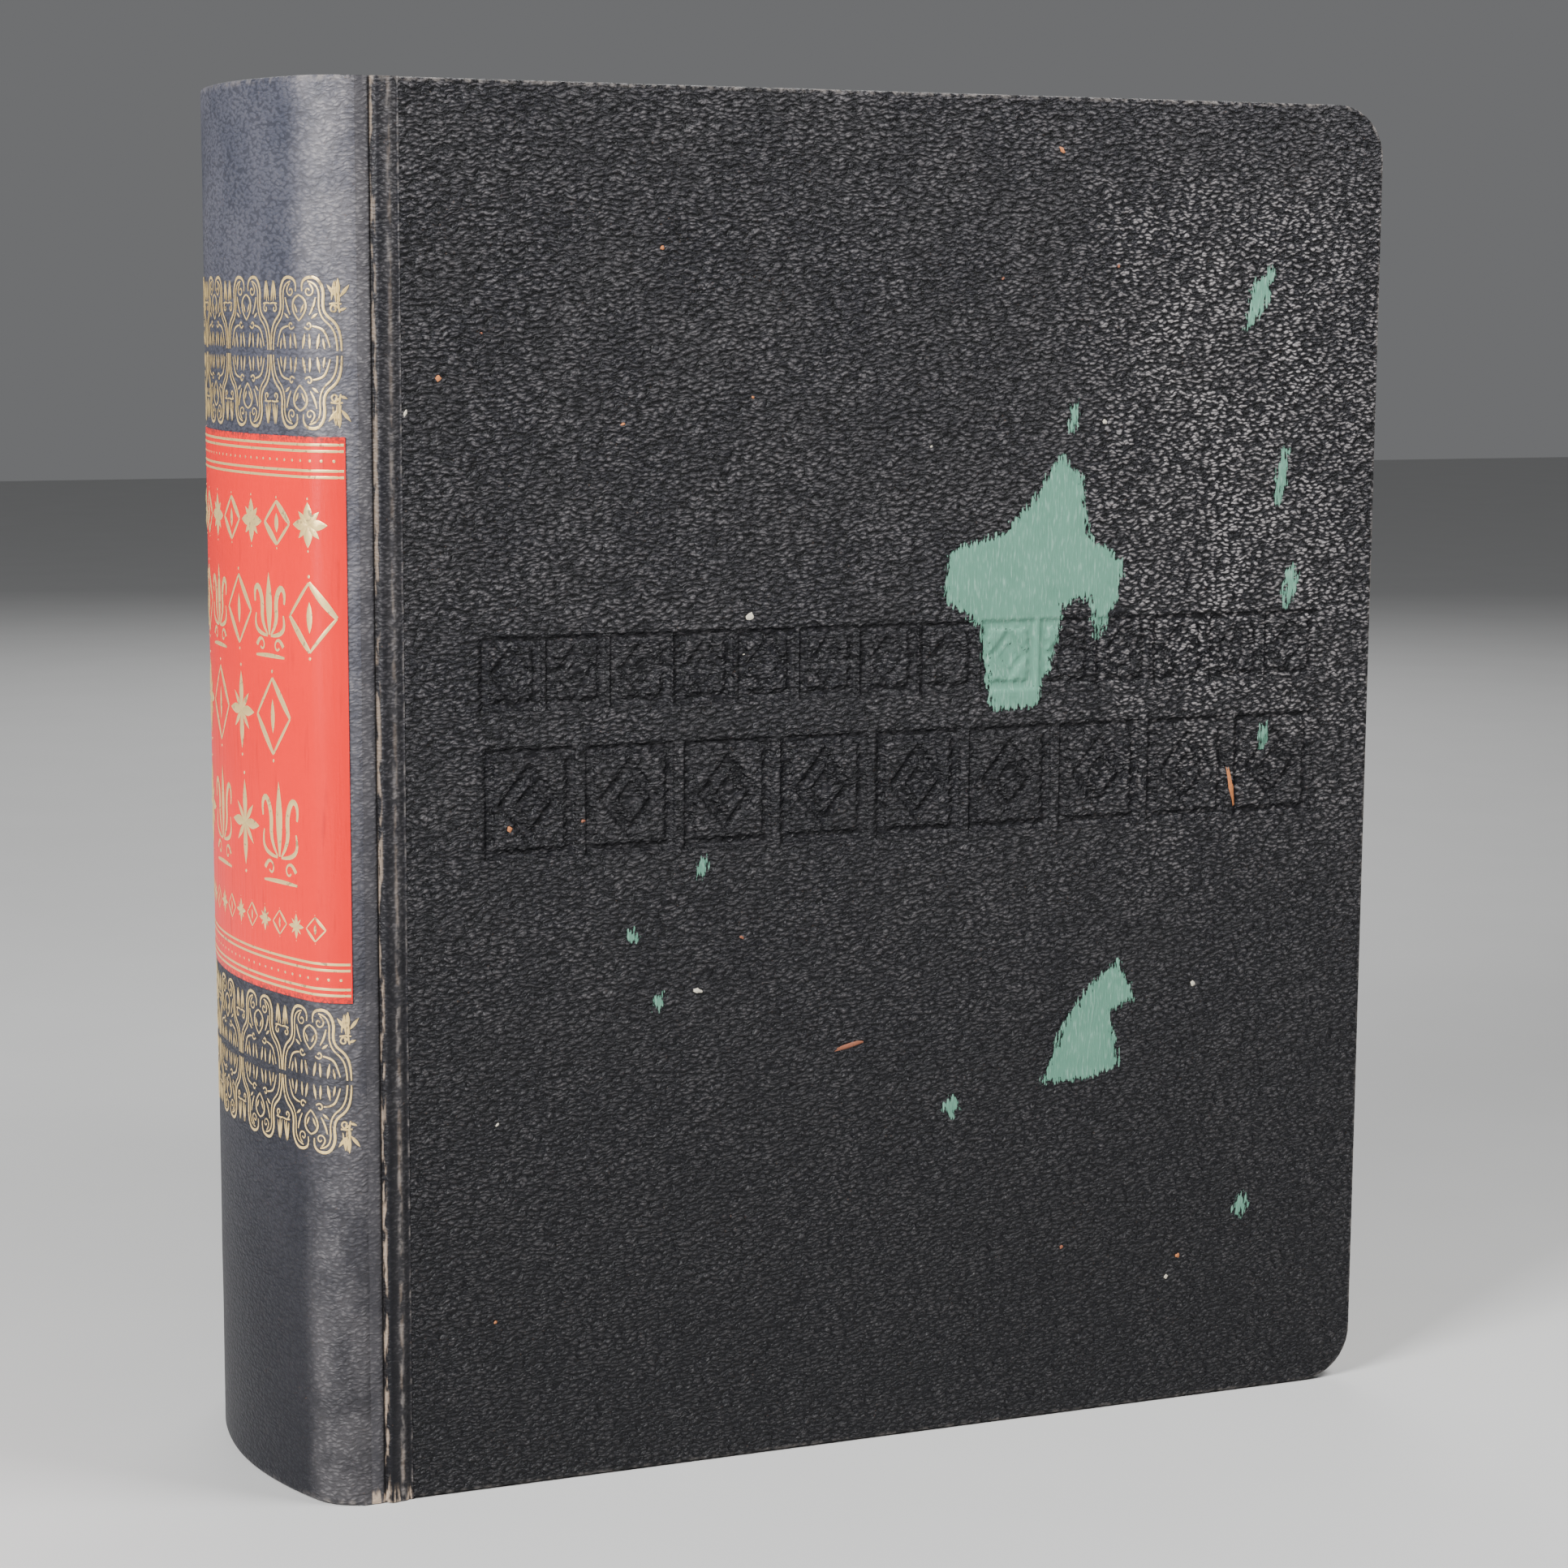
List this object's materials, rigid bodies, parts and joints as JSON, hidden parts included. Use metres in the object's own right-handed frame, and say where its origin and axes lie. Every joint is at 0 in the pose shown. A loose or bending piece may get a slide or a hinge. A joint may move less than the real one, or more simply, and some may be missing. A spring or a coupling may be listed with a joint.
{
  "type": "stamp album",
  "caption": "Post binder for stamp album pages: leatherette covers on piano hinges, rounded spine, grooved binding posts and a sprung lock slide.",
  "frame": {"origin": "middle of the underside of the overall box, on the surface that the tail stands on", "axes": "+X from the spine to the fore edge, +Y from the front cover to the back cover, +Z from tail to head"},
  "size_m": [0.26, 0.0916, 0.2985],
  "materials": {
    "binders_board": "plain pressed board",
    "leatherette": "pebble-grained leatherette, worn at the edges",
    "lining_paper": "coated lining paper",
    "label_foil": "red glazed panel with gilt ornament",
    "plated_steel": "nickel plated, brushed",
    "spring_steel": "drawn wire",
    "brass": "polished",
    "album_pages": "uncoated album paper, toned at the edges",
    "leaf_paper": "heavier uncoated paper"
  },
  "bodies": {
    "root": {"spine_board": "binders_board", "spine_skin": "leatherette", "spine_lining": "lining_paper", "spine_label": "label_foil", "front_joint_skin": "leatherette", "back_joint_skin": "leatherette", "front_hinge_strip": "plated_steel", "back_hinge_strip": "plated_steel", "front_hinge_pin": "plated_steel", "back_hinge_pin": "plated_steel", "post_lower": "plated_steel", "post_upper": "plated_steel", "lock_guides": "plated_steel", "lock_spring": "spring_steel", "page_section_1_stub": "album_pages", "page_section_2": "album_pages", "page_section_3": "album_pages", "page_section_4": "album_pages", "page_section_5": "album_pages", "page_section_6": "album_pages", "page_section_7": "album_pages", "page_section_8": "album_pages", "title_leaf_stub": "leaf_paper", "end_leaf_stub": "leaf_paper"},
    "front_cover": {"front_board": "binders_board", "front_cover_skin": "leatherette", "front_lining": "lining_paper", "front_hinge_leaf": "plated_steel", "front_leaf_rivets": "brass"},
    "back_cover": {"back_board": "binders_board", "back_cover_skin": "leatherette", "back_lining": "lining_paper", "back_hinge_leaf": "plated_steel", "back_leaf_rivets": "brass"},
    "lock": {"lock_slide": "plated_steel", "lock_tab": "brass"},
    "title_leaf": {"title_leaf": "leaf_paper"},
    "front_section": {"page_section_1": "album_pages"},
    "end_leaf": {"end_leaf": "leaf_paper"}
  },
  "joints": [
    {"name": "front_cover_hinge", "type": "hinge", "parent": "root", "child": "front_cover", "pos_m": [-0.1062, -0.044, 0], "axis": [0, 0, -1], "range_deg": [0, 150], "deforming": ["front_joint_skin"]},
    {"name": "back_cover_hinge", "type": "hinge", "parent": "root", "child": "back_cover", "pos_m": [-0.1062, 0.044, 0], "axis": [0, 0, 1], "range_deg": [0, 150], "deforming": ["back_joint_skin"]},
    {"name": "title_leaf_turn", "type": "hinge", "parent": "root", "child": "title_leaf", "pos_m": [-0.084, -0.0366, 0], "axis": [0, 0, -1], "range_deg": [0, 140]},
    {"name": "front_section_turn", "type": "hinge", "parent": "root", "child": "front_section", "pos_m": [-0.0835, -0.0362, 0], "axis": [0, 0, -1], "range_deg": [0, 120]},
    {"name": "end_leaf_turn", "type": "hinge", "parent": "root", "child": "end_leaf", "pos_m": [-0.084, 0.0366, 0], "axis": [0, 0, 1], "range_deg": [0, 140]},
    {"name": "lock_travel", "type": "slide", "parent": "root", "child": "lock", "axis": [0, 0, 1], "range_m": [0, 0.006], "stiffness_N_per_m": 150, "springref_m": -0.003, "deforming": ["lock_spring"]}
  ],
  "couplings": [
    {"joint": "title_leaf_turn", "follows": "front_cover_hinge", "ratio": 0.9333},
    {"joint": "front_section_turn", "follows": "front_cover_hinge", "ratio": 0.8},
    {"joint": "end_leaf_turn", "follows": "back_cover_hinge", "ratio": 0.9333}
  ]
}
